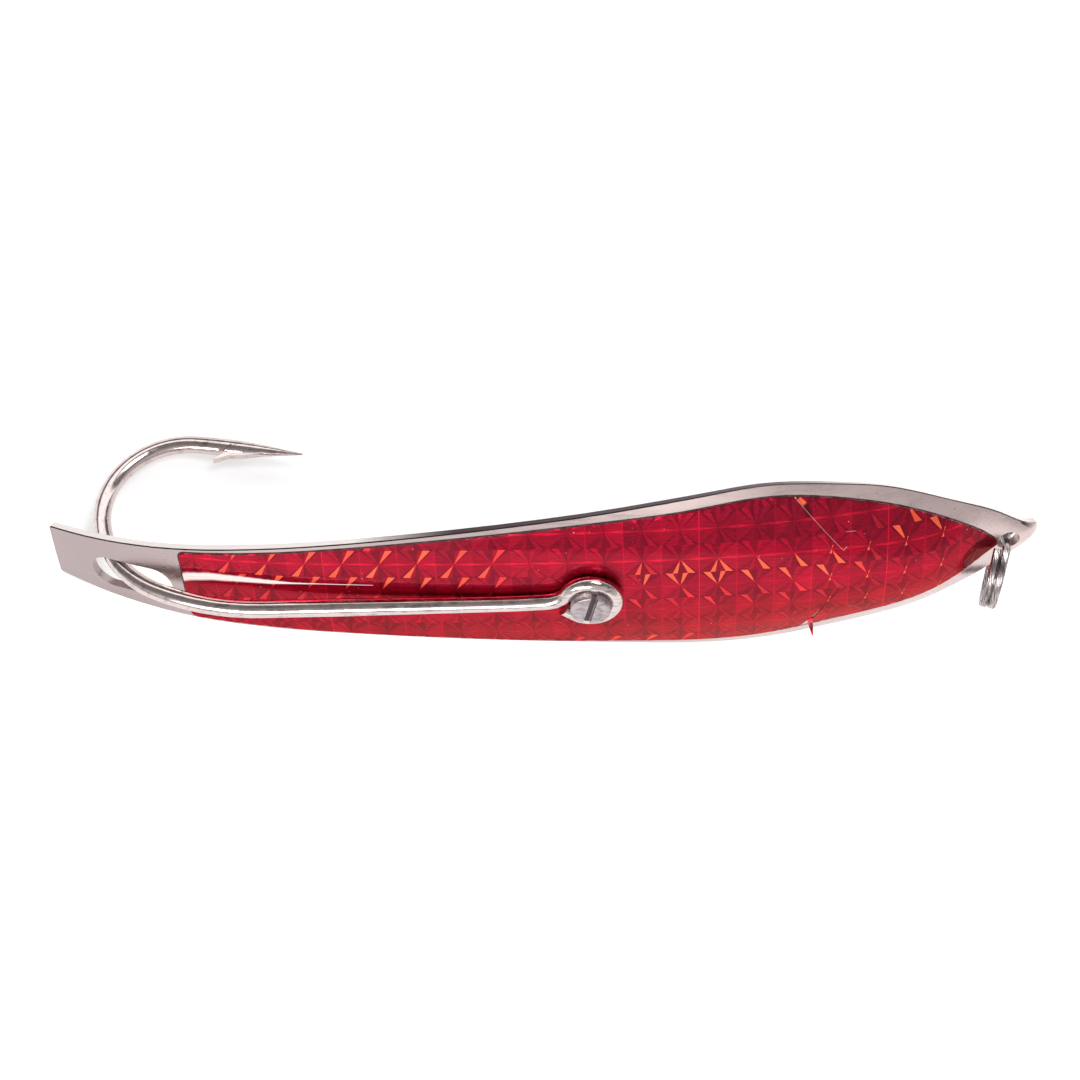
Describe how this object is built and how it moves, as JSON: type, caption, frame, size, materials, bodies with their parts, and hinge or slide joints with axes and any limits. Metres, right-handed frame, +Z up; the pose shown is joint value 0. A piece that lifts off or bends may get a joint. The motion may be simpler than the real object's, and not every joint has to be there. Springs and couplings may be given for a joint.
{
  "type": "trolling spoon lure",
  "caption": "Long curved steel trolling spoon with red prism tape, a large hook clamped by its eye under a slotted screw, its bend through a slot, and a split ring in the nose.",
  "frame": {"origin": "middle of the footprint of the spoon as it lies, on the table", "axes": "+X along the blade towards the nose with the split ring, +Z up from the table, +Y towards the hook's side"},
  "size_m": [0.1822, 0.0405, 0.038],
  "materials": {
    "blade_steel": "satin stamped stainless sheet",
    "red_prism_tape": "glossy faceted film",
    "hook_plating": "bright tinned",
    "fastener_steel": "satin turned steel",
    "ring_plating": "bright nickel plate"
  },
  "bodies": {
    "spoon": {"blade": "blade_steel", "prism_tape": "red_prism_tape", "hook": "hook_plating", "hook_screw": "fastener_steel", "lock_washer": "fastener_steel", "hex_nut": "fastener_steel"},
    "ring": {"split_ring": "ring_plating"}
  },
  "joints": [
    {"name": "ring_turn", "type": "hinge", "parent": "spoon", "child": "ring", "pos_m": [0.08495, -0.00419, 0.01984], "axis": [0.4263, -0.7834, 0.4523], "range_deg": [-4, 70]}
  ]
}
